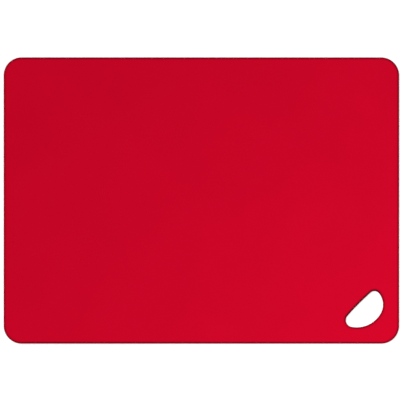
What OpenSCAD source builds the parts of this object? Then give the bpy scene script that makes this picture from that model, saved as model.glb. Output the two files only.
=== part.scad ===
// Flexible kitchen cutting mat: a hard cutting sheet bonded to a soft grip backing, with
// rounded corners and a half-moon hole through one corner for a hook or a finger.
// The origin is the middle of the footprint, on the worktop. +X runs along the length,
// +Y to the back edge and +Z up. All lengths are in millimetres and angles in degrees.

/* [Mat] */
// Length of the mat, left to right
mat_l = 279; // [220:1:400]
// Depth of the mat, front to back
mat_w = 202; // [150:1:300]
// Radius of the four corners, seen from above
corner_r = 12.7; // [8:0.1:24]

/* [Cutting sheet] */
// Thickness of the hard sheet that takes the knife
sheet_t = 0.9; // [0.8:0.1:2]
// Radius that the sheet's upper edges are rounded to, outside and in the hole
edge_r = 0.7; // [0.2:0.1:0.8]

/* [Grip backing] */
// Thickness of the soft layer where it is thinnest, between its dots
web_t = 0.3; // [0.2:0.05:1]
// Width of the plain rim that the backing stands on, along the edge and round the hole
rim_w = 5; // [3:0.5:7]
// Height of the rim and the dots under the soft layer
dot_h = 0.3; // [0.2:0.05:0.6]
// Diameter of a grip dot where it meets the soft layer
dot_d = 4; // [3:0.5:6]
// Amount by which a dot's foot is smaller than its root, all round
dot_draft = 0.4; // [0.2:0.1:0.8]
// Distance between neighbouring grip dots, centre to centre
dot_pitch = 13; // [9:0.5:20]
// Least gap between a dot and the rim
dot_gap = 2; // [1:0.5:4]

/* [Hanging hole] */
// Distance from the right edge to the middle of the line between the hole's end centres
hole_x = 25.1; // [23:0.1:60]
// Distance from the front edge to the middle of that line
hole_y = 24.8; // [23:0.1:60]
// Angle of that line from the length of the mat
hole_tilt = 46.9; // [0:0.1:90]
// Length of that line, from end centre to end centre
hole_span = 22.5; // [19:0.1:26]
// Radius of the hole's left end
left_end_r = 4.75; // [3:0.05:6]
// Radius of the hole's upper end
upper_end_r = 4.05; // [3:0.05:6]
// Radius of the long, nearly straight side, which faces the middle of the mat
back_r = 188; // [60:1:300]
// Radius of the round side, which faces the corner of the mat
belly_r = 19.3; // [17:0.1:30]
// Radius of the bend between the round side and the upper end
shoulder_r = 12.6; // [9:0.1:15]
// Angle from the line between the end centres to where the upper end meets that bend
shoulder_turn = 7.2; // [0:0.1:30]

/* [Hidden] */

$fn = 96;
// Sides that a grip dot is drawn with
dot_sides = 32;
// Widest gap between the hole's true outline and the straight steps that it is drawn with
arc_sag = 0.015;
// Steps in the quarter round along the hole's upper edge
edge_steps = 4;
// Amount by which a cut runs past the face that it opens
overrun = 0.2;

backing_t = dot_h + web_t;
mat_t = backing_t + sheet_t;
half_l = mat_l / 2;
half_w = mat_w / 2;
corner_x = half_l - corner_r;
corner_y = half_w - corner_r;
dot_r = dot_d / 2;
row_pitch = dot_pitch * sin(60);

hole_middle = [half_l - hole_x, hole_y - half_w];

function direction(angle) = [cos(angle), sin(angle)];
function turned(point, angle) = point.x * direction(angle) + point.y * direction(angle + 90);
function bearing(from, to) = atan2(to.y - from.y, to.x - from.x);

// Centre of the arc of radius r that wraps two discs from outside, touching both. It bulges
// to the right of the way from disc a to disc b.
function wrap_centre(a, a_r, b, b_r, r) =
    let (
        span = norm(b - a),
        along = (span ^ 2 + (r - a_r) ^ 2 - (r - b_r) ^ 2) / (2 * span),
        aside = sqrt((r - a_r) ^ 2 - along ^ 2)
    )
    a + turned([along, aside], bearing(a, b));

// The hole's five arcs, each [centre, radius, first angle, last angle], touch each other:
// left end, belly, shoulder, upper end and back. They lie in the hole's own frame, which has
// its origin midway between the end centres and its x axis towards the upper end.
hole_arcs =
    let (
        left_end = [-hole_span / 2, 0],
        upper_end = [hole_span / 2, 0],
        shoulder = upper_end - (shoulder_r - upper_end_r) * direction(-shoulder_turn),
        belly = wrap_centre(left_end, left_end_r, shoulder, shoulder_r, belly_r),
        back = wrap_centre(upper_end, upper_end_r, left_end, left_end_r, back_r),
        to_upper_end = bearing(back, upper_end),
        to_left_end = bearing(back, left_end),
        belly_start = bearing(belly, left_end) + 360,
        belly_end = bearing(belly, shoulder) + 360
    )
    [
        [left_end, left_end_r, to_left_end, belly_start],
        [belly, belly_r, belly_start, belly_end],
        [shoulder, shoulder_r, belly_end, 360 - shoulder_turn],
        [upper_end, upper_end_r, -shoulder_turn, to_upper_end],
        [back, back_r, to_upper_end, to_left_end]
    ];

// Points along one arc, grown outwards, without its first point, which ends the arc before it
function arc_points(arc, grow) =
    let (steps = ceil((arc[3] - arc[2]) / (2 * acos(1 - arc_sag / arc[1]))))
    [
        for (step = [1 : steps])
            let (angle = arc[2] + (arc[3] - arc[2]) * step / steps)
            arc[0] + (arc[1] + grow) * direction(angle)
    ];

// Points round the hole, counter-clockwise, grown outwards, in their place on the mat
function hole_points(grow = 0) = [
    for (arc = hole_arcs, point = arc_points(arc, grow))
        hole_middle + turned(point, hole_tilt)
];

// Whether a point lies outside a convex outline that runs counter-clockwise
function is_outside(point, loop) =
    let (n = len(loop))
    len([for (i = [0 : n - 1]) if (cross(loop[(i + 1) % n] - loop[i], point - loop[i]) < 0) i]) > 0;

// Distance from a point on the mat to the mat's outer edge
function edge_distance(point) =
    let (
        to_side = [half_l - abs(point.x), half_w - abs(point.y)],
        past_centre = [corner_r - to_side.x, corner_r - to_side.y]
    )
    min(past_centre) > 0 ? corner_r - norm(past_centre) : min(to_side);

// Centres of the grip dots: staggered rows, on the field inside the rim
dot_centres =
    let (
        keep_off = rim_w + dot_gap + dot_r,
        hole_zone = hole_points(keep_off),
        columns = ceil(half_l / dot_pitch),
        rows = ceil(half_w / row_pitch)
    )
    [
        for (row = [-rows : rows], column = [-columns : columns])
            let (
                stagger = row % 2 == 0 ? 0 : 1 / 2,
                centre = [(column + stagger) * dot_pitch, row * row_pitch]
            )
            if (edge_distance(centre) >= keep_off && is_outside(centre, hole_zone)) centre
    ];

// The mat's outline, drawn in from its edge
module outline(inset = 0) {
    for (x = [-corner_x, corner_x], y = [-corner_y, corner_y])
        translate([x, y])
            circle(corner_r - inset);
    square([2 * corner_x, mat_w - 2 * inset], center = true);
    square([mat_l - 2 * inset, 2 * corner_y], center = true);
}

// Section across the sheet's edge, from a corner's centre line outwards
module edge_section() {
    square([corner_r - edge_r, sheet_t]);
    square([corner_r, sheet_t - edge_r]);
    translate([corner_r - edge_r, sheet_t - edge_r])
        intersection() {
            circle(edge_r);
            square(edge_r);
        }
}

// One corner of the sheet, and the strip along the edge that follows it
module corner_and_strip(strip_l) {
    rotate_extrude(angle = 90)
        edge_section();
    translate([-strip_l, 0, 0])
        rotate([90, 0, 90])
            linear_extrude(height = strip_l)
                edge_section();
}

// A solid through a stack of loops with equal numbers of points, lowest first
module skin(heights, loops) {
    n = len(loops[0]);
    top = len(loops) - 1;
    points = [
        for (level = [0 : top], point = loops[level])
            [point.x, point.y, heights[level]]
    ];
    sides = [
        for (level = [0 : top - 1], i = [0 : n - 1])
            let (next = (i + 1) % n)
            [level * n + i, (level + 1) * n + i, (level + 1) * n + next, level * n + next]
    ];
    floor_face = [for (i = [0 : n - 1]) i];
    roof_face = [for (i = [n - 1 : -1 : 0]) top * n + i];
    polyhedron(concat(points), concat(sides, [floor_face, roof_face]));
}

// The cut through the sheet that leaves the hole's upper edge rounded over
module rounded_hole_cut() {
    angles = [for (step = [0 : edge_steps]) 90 * step / edge_steps];
    heights = [for (angle = angles) sheet_t - edge_r * (1 - sin(angle))];
    flares = [for (angle = angles) edge_r * (1 - cos(angle))];
    skin(
        concat(-overrun, heights, sheet_t + overrun),
        [for (grow = concat(0, flares, edge_r)) hole_points(grow)]
    );
}

// The hard layer, rounded over along its upper edges
module cutting_sheet() {
    color("#c80627")
        translate([0, 0, backing_t])
            difference() {
                union() {
                    translate([-corner_x, -corner_y, 0])
                        cube([2 * corner_x, 2 * corner_y, sheet_t]);
                    translate([corner_x, corner_y, 0])
                        corner_and_strip(2 * corner_x);
                    translate([-corner_x, corner_y, 0])
                        rotate(90)
                            corner_and_strip(2 * corner_y);
                    translate([-corner_x, -corner_y, 0])
                        rotate(180)
                            corner_and_strip(2 * corner_x);
                    translate([corner_x, -corner_y, 0])
                        rotate(270)
                            corner_and_strip(2 * corner_y);
                }
                rounded_hole_cut();
            }
}

// The soft layer before its dots: a plain layer that stands on its rim
module rimmed_layer() {
    difference() {
        linear_extrude(height = backing_t)
            difference() {
                outline();
                polygon(hole_points());
            }
        translate([0, 0, -overrun])
            linear_extrude(height = dot_h + overrun)
                difference() {
                    outline(rim_w);
                    polygon(hole_points(rim_w));
                }
    }
}

// The soft layer, which stands on its rim and dots
module grip_backing() {
    color("#9e0a24") {
        rimmed_layer();
        for (centre = dot_centres)
            translate([centre.x, centre.y, 0])
                cylinder(h = dot_h, r1 = dot_r - dot_draft, r2 = dot_r, $fn = dot_sides);
    }
}

cutting_sheet();
grip_backing();
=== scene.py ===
# A thin flexible kitchen cutting mat, seen from straight above on a white table.
# Lengths are in metres and angles in degrees, in the frame of the solid model.
import math

import bmesh
import bpy
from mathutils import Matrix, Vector


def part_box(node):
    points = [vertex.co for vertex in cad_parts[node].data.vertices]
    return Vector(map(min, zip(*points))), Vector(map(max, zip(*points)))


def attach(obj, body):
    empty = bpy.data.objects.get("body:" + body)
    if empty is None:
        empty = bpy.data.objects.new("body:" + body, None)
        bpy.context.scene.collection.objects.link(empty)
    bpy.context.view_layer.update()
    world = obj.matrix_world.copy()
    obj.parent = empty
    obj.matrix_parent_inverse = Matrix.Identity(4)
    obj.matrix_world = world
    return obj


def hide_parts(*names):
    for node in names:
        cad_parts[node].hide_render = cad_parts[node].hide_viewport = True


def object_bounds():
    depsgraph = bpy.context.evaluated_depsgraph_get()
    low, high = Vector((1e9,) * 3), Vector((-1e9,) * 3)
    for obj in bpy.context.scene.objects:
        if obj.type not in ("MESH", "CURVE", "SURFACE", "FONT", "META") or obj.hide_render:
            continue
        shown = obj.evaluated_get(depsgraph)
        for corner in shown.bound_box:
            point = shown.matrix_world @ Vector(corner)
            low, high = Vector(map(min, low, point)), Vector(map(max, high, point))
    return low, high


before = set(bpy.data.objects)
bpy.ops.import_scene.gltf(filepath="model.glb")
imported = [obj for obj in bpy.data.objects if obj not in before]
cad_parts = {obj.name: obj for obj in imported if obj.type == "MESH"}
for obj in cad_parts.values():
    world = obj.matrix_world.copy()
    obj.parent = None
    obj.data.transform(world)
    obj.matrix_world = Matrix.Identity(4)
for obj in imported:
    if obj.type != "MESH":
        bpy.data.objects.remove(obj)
solid_low, solid_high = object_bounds()

MM = 0.001

# The mat's corners and the rounding along the sheet's upper edges
CORNER_R = 12.7 * MM
EDGE_R = 0.7 * MM

# The hole across the right front corner: its place, its tilt and its five arcs
HOLE_FROM_RIGHT = 25.1 * MM
HOLE_FROM_FRONT = 24.8 * MM
HOLE_TILT = 46.9
HOLE_SPAN = 22.5 * MM
LEFT_END_R = 4.75 * MM
UPPER_END_R = 4.05 * MM
BACK_R = 188 * MM
BELLY_R = 19.3 * MM
SHOULDER_R = 12.6 * MM
SHOULDER_TURN = 7.2

# The backing's rim and grip dots, with the sizes and gaps that they have on the solid model
RIM_W = 5 * MM
DOT_H = 0.3 * MM
DOT_R = 2 * MM
DOT_DRAFT = 0.4 * MM
DOT_PITCH = 13 * MM
DOT_GAP = 2 * MM
# Rounding along the edges that the backing stands on, and how far the foot and the root of
# its moulded steps run out past where the solid model has them
FOOT_R = 0.12 * MM
STEP_RUNOUT = 0.1 * MM

# Widest gap between an arc and the straight steps that it is drawn with
ARC_SAG = 0.004 * MM
# Steps in the sheet's quarter round, in the backing's and in a moulded step, and a dot's sides
ROUND_STEPS = 8
FOOT_STEPS = 3
MOULDED_STEPS = 3
DOT_SIDES = 24
# Share of painted edge shade (a darker red standing in for shade on the rounding) on the side wall
# and where the rounding meets the flat face: round the mat, round the hole, and on the hole's back
# side
RIM_PAINTED_SHADE = (0.5, 0.7)
HOLE_PAINTED_SHADE = (0.4, 0.5)
HOLE_BACK_PAINTED_SHADE = (1, 1)
# Bearing towards which the rim's painted shade deepens, as on edges turned from the key light, and
# by how much. Away from it, it lightens as much.
RIM_SHADE_LEAN_BEARING = -35
RIM_SHADE_LEAN = 0.1
# Bearing towards which the hole's painted shade deepens to that of its back side, where the painted
# shade is deepest. It does so as the share of a heading that lies along this bearing rises from the
# first value to the second.
HOLE_SHADE_LEAN_BEARING = 105
HOLE_SHADE_LEAN_RANGE = (-0.25, 0.75)
# How the painted edge shade fades out over the flat face: distance past the rounding, share
PAINTED_SHADE_FADE = ((0, 1), (0.3 * MM, 0.68), (0.8 * MM, 0.25), (1.6 * MM, 0))

# Side of the picture, and the middle and the length of the mat's footprint in it, in pixels. The
# length is half a pixel more than in the photograph, because rendering pales the edge pixels.
PHOTO_SIDE_PX = 400
MAT_MIDDLE_PX = (201.4, 200.5)
MAT_LENGTH_PX = 395.5
LENS_MM = 150
SENSOR_MM = 36

# Linear colours of the hard sheet, the painted shade on its edges, the soft backing and the table
SHEET_RED = (0.487, 0.0013, 0.0165)
PAINTED_EDGE_SHADE_RED = (0.05, 0.0002, 0.0018)
BACKING_RED = (0.27, 0.002, 0.010)
TABLE_WHITE = (0.6, 0.6, 0.6)

# The sheet's finish: size of the clouds in its red and how bright they are, size of its shinier
# and duller patches and how rough they are, and size and depth of its leathery grain
SHEET_CLOUD_SIZE = 50 * MM
SHEET_CLOUDS = (0.98, 1.02)
SHEET_PATCH_SIZE = 6 * MM
SHEET_ROUGHNESS = (0.36, 0.44)
SHEET_GRAIN_SIZE = 0.4 * MM
SHEET_GRAIN_DEPTH = 0.03 * MM
SHEET_SPECULAR = 0.12

# The backing's finish, in the same terms, and how strongly its powdery grain shows
BACKING_CLOUD_SIZE = 12 * MM
BACKING_CLOUD_DETAIL = 4
BACKING_CLOUDS = (0.93, 1.07)
BACKING_PATCH_SIZE = 3 * MM
BACKING_ROUGHNESS = (0.7, 0.85)
BACKING_GRAIN_SIZE = 0.25 * MM
BACKING_GRAIN_DEPTH = 0.01 * MM
BACKING_GRAIN_STRENGTH = 0.6
BACKING_SPECULAR = 0.3

# The table's side in metres, how far it lies under the mat, how rough it is, and the light that
# it adds of its own, which keeps the thin mat's shadow faint
TABLE_SIDE = 40
TABLE_DROP = 0.02 * MM
TABLE_ROUGHNESS = 0.9
TABLE_GLOW = 0.4

# Light falling on the table, as the share of white that it lights white paper to
KEY_LIGHT = 0.6
SOFTBOX_LIGHT = 0.53
# The key light's bearing from +X, its height above the table and how wide it looks, in degrees
KEY_BEARING = 135
KEY_HEIGHT = 50
KEY_WIDTH = 20
# Where the softbox stands, off the corner with the hole, and its side, in metres
SOFTBOX_PLACE = Vector((0.64, -0.64, 0.6))
SOFTBOX_SIDE = 0.5
# Brightness of the room, from the horizon (0) to straight above (1)
ROOM_GREYS = ((0, 0.82), (0.07, 0.78), (0.2, 0.35), (0.5, 0.12), (1, 0))


def direction(angle):
    """The heading of length 1 at this angle from +X."""
    return Vector((math.cos(math.radians(angle)), math.sin(math.radians(angle))))


def bearing(start, end):
    """The angle from +X of the way from start to end."""
    return math.degrees(math.atan2(end.y - start.y, end.x - start.x))


def wrap_centre(a, a_r, b, b_r, r):
    """Centre of the arc of radius r round the discs a and b, touching both from outside.
    It bulges to the right of the way from a to b."""
    span = (b - a).length
    along = (span**2 + (r - a_r) ** 2 - (r - b_r) ** 2) / (2 * span)
    aside = math.sqrt((r - a_r) ** 2 - along**2)
    course = bearing(a, b)
    return a + along * direction(course) + aside * direction(course + 90)


def corner_arcs(low, high):
    """The mat's four corners, counter-clockwise, each (centre, radius, first, last angle)."""
    left, right = low.x + CORNER_R, high.x - CORNER_R
    front, back = low.y + CORNER_R, high.y - CORNER_R
    corners = ((right, back), (left, back), (left, front), (right, front))
    return [
        (Vector(corner), CORNER_R, 90 * turn, 90 * turn + 90)
        for turn, corner in enumerate(corners)
    ]


def hole_arcs(low, high):
    """The hole's left end, belly, shoulder, upper end and back, counter-clockwise."""
    middle = Vector((high.x - HOLE_FROM_RIGHT, low.y + HOLE_FROM_FRONT))
    left_end = middle - HOLE_SPAN / 2 * direction(HOLE_TILT)
    upper_end = middle + HOLE_SPAN / 2 * direction(HOLE_TILT)
    turn = HOLE_TILT - SHOULDER_TURN
    shoulder = upper_end - (SHOULDER_R - UPPER_END_R) * direction(turn)
    belly = wrap_centre(left_end, LEFT_END_R, shoulder, SHOULDER_R, BELLY_R)
    back = wrap_centre(upper_end, UPPER_END_R, left_end, LEFT_END_R, BACK_R)
    belly_start = bearing(belly, left_end) + 360
    belly_end = bearing(belly, shoulder) + 360
    back_start, back_end = bearing(back, upper_end), bearing(back, left_end)
    return [
        (left_end, LEFT_END_R, back_end, belly_start),
        (belly, BELLY_R, belly_start, belly_end),
        (shoulder, SHOULDER_R, belly_end, turn + 360),
        (upper_end, UPPER_END_R, turn, back_start),
        (back, BACK_R, back_start, back_end),
    ]


def outline(arcs, first_point):
    """Points round an outline, each (its arc's centre and radius, direction from the centre).
    first_point is 1 where each arc starts at the end of the one before it, and else 0."""
    points = []
    for centre, radius, start, end in arcs:
        widest = 2 * math.degrees(math.acos(1 - ARC_SAG / radius))
        steps = math.ceil((end - start) / widest)
        for step in range(first_point, steps + 1):
            points.append((centre, radius, direction(start + (end - start) * step / steps)))
    return points


def rim_painted_shade(heading):
    """Painted edge shade of the mat's edge where it faces heading, deeper on the side turned from
    the key light.
    """
    lean = RIM_SHADE_LEAN * heading.dot(direction(RIM_SHADE_LEAN_BEARING))
    return [shade_share + lean for shade_share in RIM_PAINTED_SHADE]


def hole_painted_shade(heading):
    """Painted edge shade of the hole's edge where heading points out of the hole, into the mat,
    deepest on its back side.
    """
    first, last = HOLE_SHADE_LEAN_RANGE
    along = heading.dot(direction(HOLE_SHADE_LEAN_BEARING))
    share = min(1, max(0, (along - first) / (last - first)))
    return [plain + (deep - plain) * share for plain, deep in zip(HOLE_PAINTED_SHADE, HOLE_BACK_PAINTED_SHADE)]


def sheet_levels(low, high):
    """Rings from the sheet's lower edge up its side and over the rounding to the flat face,
    each (height, distance in from the outline), and each ring's shares of its wall's and its
    top's painted edge shade."""
    levels, shares = [(low.z, 0)], [(1, 0)]
    for step in range(ROUND_STEPS):
        aside, up = direction(90 * step / ROUND_STEPS)
        levels.append((high.z - EDGE_R * (1 - up), EDGE_R * (1 - aside)))
        shares.append((aside, 1 - aside))
    for past, share in PAINTED_SHADE_FADE:
        levels.append((high.z, EDGE_R + past))
        shares.append((0, share))
    return levels, shares


def moulded_step(floor, foot, root):
    """Rings up a softly moulded step as high as a dot, each (height, distance), from the
    distance of its foot, where it stands on the floor, to that of its root."""
    levels = []
    for step in range(MOULDED_STEPS + 1):
        share = step / MOULDED_STEPS
        # An S-shaped rise, level at both ends
        rise = share**2 * (3 - 2 * share)
        levels.append((floor + DOT_H * rise, foot + (root - foot) * share))
    return levels


def backing_levels(low, high):
    """Rings from the backing's upper edge down its side, over the rounding, across the rim
    that it stands on and up to the field of dots, each (height, distance in)."""
    levels = [(high.z, 0)]
    for step in range(FOOT_STEPS + 1):
        aside, up = direction(90 * step / FOOT_STEPS)
        levels.append((low.z + FOOT_R * (1 - up), FOOT_R * (1 - aside)))
    # A ring near either end of the flat rim keeps it flat where its shading is smoothed
    levels += [(low.z, 2 * FOOT_R), (low.z, RIM_W - 2 * STEP_RUNOUT)]
    return levels + moulded_step(low.z, RIM_W - STEP_RUNOUT, RIM_W + STEP_RUNOUT)


def add_wall(mesh, points, levels, growth):
    """A wall of faces along one outline, with a ring of vertices at each level. growth is -1
    where the distance in shrinks the outline's arcs and 1 where it widens them. Returns the
    rings."""
    rings = []
    for height, distance in levels:
        ring = []
        for centre, radius, heading in points:
            place = centre + (radius + growth * distance) * heading
            ring.append(mesh.verts.new((place.x, place.y, height)))
        rings.append(ring)
    for lower, upper in zip(rings, rings[1:]):
        for i in range(len(points)):
            mesh.faces.new((lower[i - 1], lower[i], upper[i], upper[i - 1]))
    return rings


def add_flat(mesh, rings, creased):
    """The flat face between an outer ring and the ones inside it, with or without a crease."""
    edges = [
        mesh.edges.get((ring[i - 1], ring[i])) for ring in rings for i in range(len(ring))
    ]
    bmesh.ops.triangle_fill(mesh, edges=edges, use_beauty=True)
    for edge in edges:
        edge.smooth = not creased


def set_painted_shade(mesh, points, rings, shares, painted_shade_of):
    """Writes how much painted edge shade, a darker red standing in for shade, each vertex of the
    rings has.
    """
    painted_edge_shade = mesh.verts.layers.float["painted_edge_shade"]
    for ring, (wall_share, top_share) in zip(rings, shares):
        for vertex, (_, _, heading) in zip(ring, points):
            wall_shade, top_shade = painted_shade_of(heading)
            vertex[painted_edge_shade] = wall_share * wall_shade + top_share * top_shade


def make_sheet(low, high):
    """The hard sheet, with its upper edges rounded over."""
    mesh = bmesh.new()
    # Per vertex, how much painted edge shade it has
    mesh.verts.layers.float.new("painted_edge_shade")
    levels, shares = sheet_levels(low, high)
    ends = []
    for points, growth, painted_shade_of in (
        (outline(corner_arcs(low, high), 0), -1, rim_painted_shade),
        (outline(hole_arcs(low, high), 1), 1, hole_painted_shade),
    ):
        rings = add_wall(mesh, points, levels, growth)
        set_painted_shade(mesh, points, rings, shares, painted_shade_of)
        ends.append((rings[0], rings[-1]))
    bottom, top = zip(*ends)
    add_flat(mesh, bottom, creased=True)
    add_flat(mesh, top, creased=False)
    return mesh


def edge_distance(point, low, high):
    """Distance from a point on the mat to the mat's outer edge."""
    to_sides = [min(high[axis] - point[axis], point[axis] - low[axis]) for axis in (0, 1)]
    past_centre = [CORNER_R - to_side for to_side in to_sides]
    return CORNER_R - math.hypot(*past_centre) if min(past_centre) > 0 else min(to_sides)


def is_outside(point, loop):
    """Whether a point lies outside a convex loop that runs counter-clockwise."""
    return any((end - start).cross(point - start) < 0 for start, end in zip(loop[-1:] + loop, loop))


def dot_centres(low, high):
    """Centres of the grip dots: staggered rows, on the field inside the rim."""
    keep_off = RIM_W + DOT_GAP + DOT_R
    hole_points = outline(hole_arcs(low, high), 1)
    hole_zone = [centre + (radius + keep_off) * heading for centre, radius, heading in hole_points]
    # Three neighbouring dots stand at the corners of a triangle with angles of 60 degrees
    row_pitch = DOT_PITCH * math.sin(math.radians(60))
    rows, columns = math.ceil(high.y / row_pitch), math.ceil(high.x / DOT_PITCH)
    centres = [
        Vector(((column + row % 2 / 2) * DOT_PITCH, row * row_pitch))
        for row in range(-rows, rows + 1)
        for column in range(-columns, columns + 1)
    ]
    return [
        centre
        for centre in centres
        if edge_distance(centre, low, high) >= keep_off and is_outside(centre, hole_zone)
    ]


def make_backing(low, high):
    """The soft backing, which stands on its rim and on rows of low moulded dots."""
    mesh = bmesh.new()
    levels = backing_levels(low, high)
    rim = add_wall(mesh, outline(corner_arcs(low, high), 0), levels, growth=-1)
    hole = add_wall(mesh, outline(hole_arcs(low, high), 1), levels, growth=1)
    add_flat(mesh, [rim[0], hole[0]], creased=True)
    field = [rim[-1], hole[-1]]
    sides = [direction(360 * side / DOT_SIDES) for side in range(DOT_SIDES)]
    levels = moulded_step(low.z, DOT_R - DOT_DRAFT - STEP_RUNOUT, DOT_R + STEP_RUNOUT)
    for centre in dot_centres(low, high):
        dot = add_wall(mesh, [(centre, 0, side) for side in sides], levels, growth=1)
        mesh.faces.new(dot[0])
        field.append(dot[-1])
    add_flat(mesh, field, creased=True)
    return mesh


def add_piece(name, mesh, material, node):
    """Turns a closed mesh into the piece that stands for a node of the solid model."""
    bmesh.ops.recalc_face_normals(mesh, faces=mesh.faces)
    for face in mesh.faces:
        face.smooth = True
    data = bpy.data.meshes.new(name)
    mesh.to_mesh(data)
    mesh.free()
    data.materials.append(material)
    piece = add_object(name, data)
    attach(piece, "root")
    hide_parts(node)


def add_object(name, data):
    made = bpy.data.objects.new(name, data)
    bpy.context.scene.collection.objects.link(made)
    return made


def shade(colour, share=1):
    """A colour with alpha, a share as bright."""
    return (*(share * part for part in colour), 1)


class Nodes:
    """A material's nodes, with short calls to add and join them."""

    # Range that a noise's values mostly keep to
    NOISE_LOW, NOISE_HIGH = 0.3, 0.7
    # Places of the sockets that a mix of colours uses, among a mix node's sockets of all types
    MIX_SHARE, MIX_FIRST, MIX_SECOND = 0, 6, 7
    MIX_RESULT = 2

    def __init__(self, name):
        self.material = bpy.data.materials.new(name)
        self.material.use_nodes = True
        self.tree = self.material.node_tree
        self.shader = self.tree.nodes["Principled BSDF"].inputs
        self.place = self.add("ShaderNodeTexCoord").outputs["Object"]

    def feed(self, socket, value):
        """Sets a socket to a constant, or joins another node's socket to it."""
        if isinstance(value, bpy.types.NodeSocket):
            self.tree.links.new(value, socket)
        else:
            socket.default_value = value

    def add(self, kind, inputs=None, **properties):
        made = self.tree.nodes.new(kind)
        for name, value in properties.items():
            setattr(made, name, value)
        for name, value in (inputs or {}).items():
            self.feed(made.inputs[name], value)
        return made

    def noise(self, size, detail=2):
        """Cloudy noise with features of about this size."""
        inputs = {"Vector": self.place, "Scale": 1 / size, "Detail": detail}
        return self.add("ShaderNodeTexNoise", inputs).outputs["Fac"]

    def cells(self, size):
        """Rounded cells of about this size, low in the middle."""
        inputs = {"Vector": self.place, "Scale": 1 / size}
        made = self.add("ShaderNodeTexVoronoi", inputs, feature="SMOOTH_F1")
        return made.outputs["Distance"]

    def spread(self, noise, low, high):
        """A noise's usual range, spread from low to high."""
        inputs = {
            "Value": noise,
            "From Min": self.NOISE_LOW,
            "From Max": self.NOISE_HIGH,
            "To Min": low,
            "To Max": high,
        }
        return self.add("ShaderNodeMapRange", inputs).outputs["Result"]

    def mix(self, first, second, share):
        """From the first colour (share 0) to the second (share 1)."""
        inputs = {self.MIX_SHARE: share, self.MIX_FIRST: first, self.MIX_SECOND: second}
        return self.add("ShaderNodeMix", inputs, data_type="RGBA").outputs[self.MIX_RESULT]

    def clouded(self, colour, size, brightness, detail=2):
        """A colour with soft clouds of about this size, from the first brightness to the second."""
        clouds = self.spread(self.noise(size, detail), 0, 1)
        return self.mix(*(shade(colour, share) for share in brightness), clouds)

    def bump(self, height, depth, strength=1):
        inputs = {"Height": height, "Distance": depth, "Strength": strength}
        return self.add("ShaderNodeBump", inputs).outputs["Normal"]


def satin_plastic():
    """The hard sheet: faint clouds in its red, a fine leathery grain and painted shade along its
    edges.
    """
    nodes = Nodes("hard_sheet_satin")
    face = nodes.clouded(SHEET_RED, SHEET_CLOUD_SIZE, SHEET_CLOUDS)
    # The darker red mixed in along the edges is painted shade on their rounding
    shade_share = nodes.add("ShaderNodeAttribute", attribute_name="painted_edge_shade").outputs["Fac"]
    roughness = nodes.spread(nodes.noise(SHEET_PATCH_SIZE), *SHEET_ROUGHNESS)
    grain = nodes.bump(nodes.cells(SHEET_GRAIN_SIZE), SHEET_GRAIN_DEPTH)
    nodes.feed(nodes.shader["Base Color"], nodes.mix(face, shade(PAINTED_EDGE_SHADE_RED), shade_share))
    nodes.feed(nodes.shader["Roughness"], roughness)
    nodes.feed(nodes.shader["Normal"], grain)
    nodes.shader["Specular IOR Level"].default_value = SHEET_SPECULAR
    return nodes.material


def soft_rubber():
    """The grip backing: a matt, slightly uneven deeper red with a fine powdery grain."""
    nodes = Nodes("soft_backing_matt")
    colour = nodes.clouded(BACKING_RED, BACKING_CLOUD_SIZE, BACKING_CLOUDS, BACKING_CLOUD_DETAIL)
    roughness = nodes.spread(nodes.noise(BACKING_PATCH_SIZE), *BACKING_ROUGHNESS)
    powder = nodes.noise(BACKING_GRAIN_SIZE)
    grain = nodes.bump(powder, BACKING_GRAIN_DEPTH, BACKING_GRAIN_STRENGTH)
    nodes.feed(nodes.shader["Base Color"], colour)
    nodes.feed(nodes.shader["Roughness"], roughness)
    nodes.feed(nodes.shader["Normal"], grain)
    nodes.shader["Specular IOR Level"].default_value = BACKING_SPECULAR
    return nodes.material


def make_table(mat_foot):
    """A wide white table, just under the height that the mat stands at."""
    place = (0, 0, mat_foot - TABLE_DROP)
    bpy.ops.mesh.primitive_plane_add(size=TABLE_SIDE, location=place)
    table = bpy.context.object
    table.name = "table"
    nodes = Nodes("table_white")
    nodes.shader["Base Color"].default_value = shade(TABLE_WHITE)
    nodes.shader["Roughness"].default_value = TABLE_ROUGHNESS
    nodes.shader["Specular IOR Level"].default_value = 0
    nodes.shader["Emission Color"].default_value = (1, 1, 1, 1)
    nodes.shader["Emission Strength"].default_value = TABLE_GLOW
    table.data.materials.append(nodes.material)


def light_room():
    """A pale room, brightest at the horizon."""
    world = bpy.data.worlds.new("studio")
    bpy.context.scene.world = world
    world.use_nodes = True
    nodes, links = world.node_tree.nodes, world.node_tree.links
    heading = nodes.new("ShaderNodeTexCoord").outputs["Generated"]
    parts = nodes.new("ShaderNodeSeparateXYZ")
    links.new(heading, parts.inputs["Vector"])
    ramp = nodes.new("ShaderNodeValToRGB")
    stops = ramp.color_ramp.elements
    while len(stops) < len(ROOM_GREYS):
        stops.new(0)
    for stop, (position, grey) in zip(stops, ROOM_GREYS):
        stop.position = position
        stop.color = (grey, grey, grey, 1)
    links.new(parts.outputs["Z"], ramp.inputs["Fac"])
    links.new(ramp.outputs["Color"], nodes["Background"].inputs["Color"])


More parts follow.
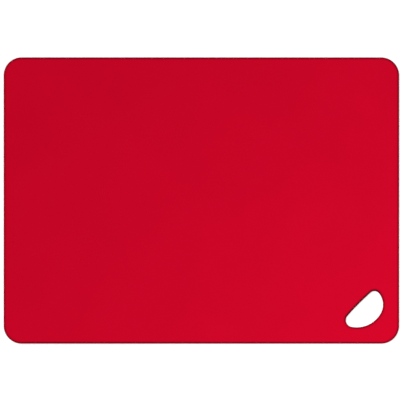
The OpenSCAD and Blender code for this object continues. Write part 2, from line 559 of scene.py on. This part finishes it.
def add_light(name, kind, energy, place, **settings):
    """A light at a place, aimed at the middle of the mat."""
    data = bpy.data.lights.new(name, kind)
    data.energy = energy
    for setting, value in settings.items():
        setattr(data, setting, value)
    light = add_object(name, data)
    light.location = place
    light.rotation_euler = place.to_track_quat("Z", "Y").to_euler()
    light.visible_camera = False
    light.visible_glossy = False


def add_lights():
    """A broad key light from the upper left and a softbox off the corner with the hole. Each is
    stronger by what its slant to the table would take away. The softbox casts no shadow, so the
    table stays white right up to the mat."""
    height = math.radians(KEY_HEIGHT)
    key_place = Vector((*(math.cos(height) * direction(KEY_BEARING)), math.sin(height)))
    # A sun of strength pi lights white paper that faces it to full white
    strength = math.pi * KEY_LIGHT / key_place.z
    add_light("key", "SUN", strength, key_place, angle=math.radians(KEY_WIDTH))
    # So does an area light of power pi squared, a metre away
    reach = SOFTBOX_PLACE.length
    power = SOFTBOX_LIGHT * (math.pi * reach) ** 2 * reach / SOFTBOX_PLACE.z
    add_light("softbox", "AREA", power, SOFTBOX_PLACE, size=SOFTBOX_SIDE, use_shadow=False)


def add_camera(low, high):
    """A camera straight above, which puts the mat's outline within half a pixel of where the
    photograph has it."""
    pixel = (high.x - low.x) / MAT_LENGTH_PX
    right = (PHOTO_SIDE_PX / 2 - MAT_MIDDLE_PX[0]) * pixel
    up = (MAT_MIDDLE_PX[1] - PHOTO_SIDE_PX / 2) * pixel
    distance = PHOTO_SIDE_PX * pixel * LENS_MM / SENSOR_MM
    camera = add_object("camera", bpy.data.cameras.new("camera"))
    camera.data.lens = LENS_MM
    camera.data.sensor_width = SENSOR_MM
    middle = (low + high) / 2
    # The mat is at full length up to where the rounding of its edges starts
    camera.location = (middle.x + right, middle.y + up, high.z - EDGE_R + distance)
    bpy.context.scene.camera = camera


add_camera(solid_low, solid_high)

sheet = make_sheet(*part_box("cutting_sheet"))
add_piece("cutting_sheet_finished", sheet, satin_plastic(), "cutting_sheet")
backing = make_backing(*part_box("grip_backing"))
add_piece("grip_backing_finished", backing, soft_rubber(), "grip_backing")

make_table(solid_low.z)
light_room()
add_lights()
bpy.context.scene.view_settings.view_transform = "Standard"
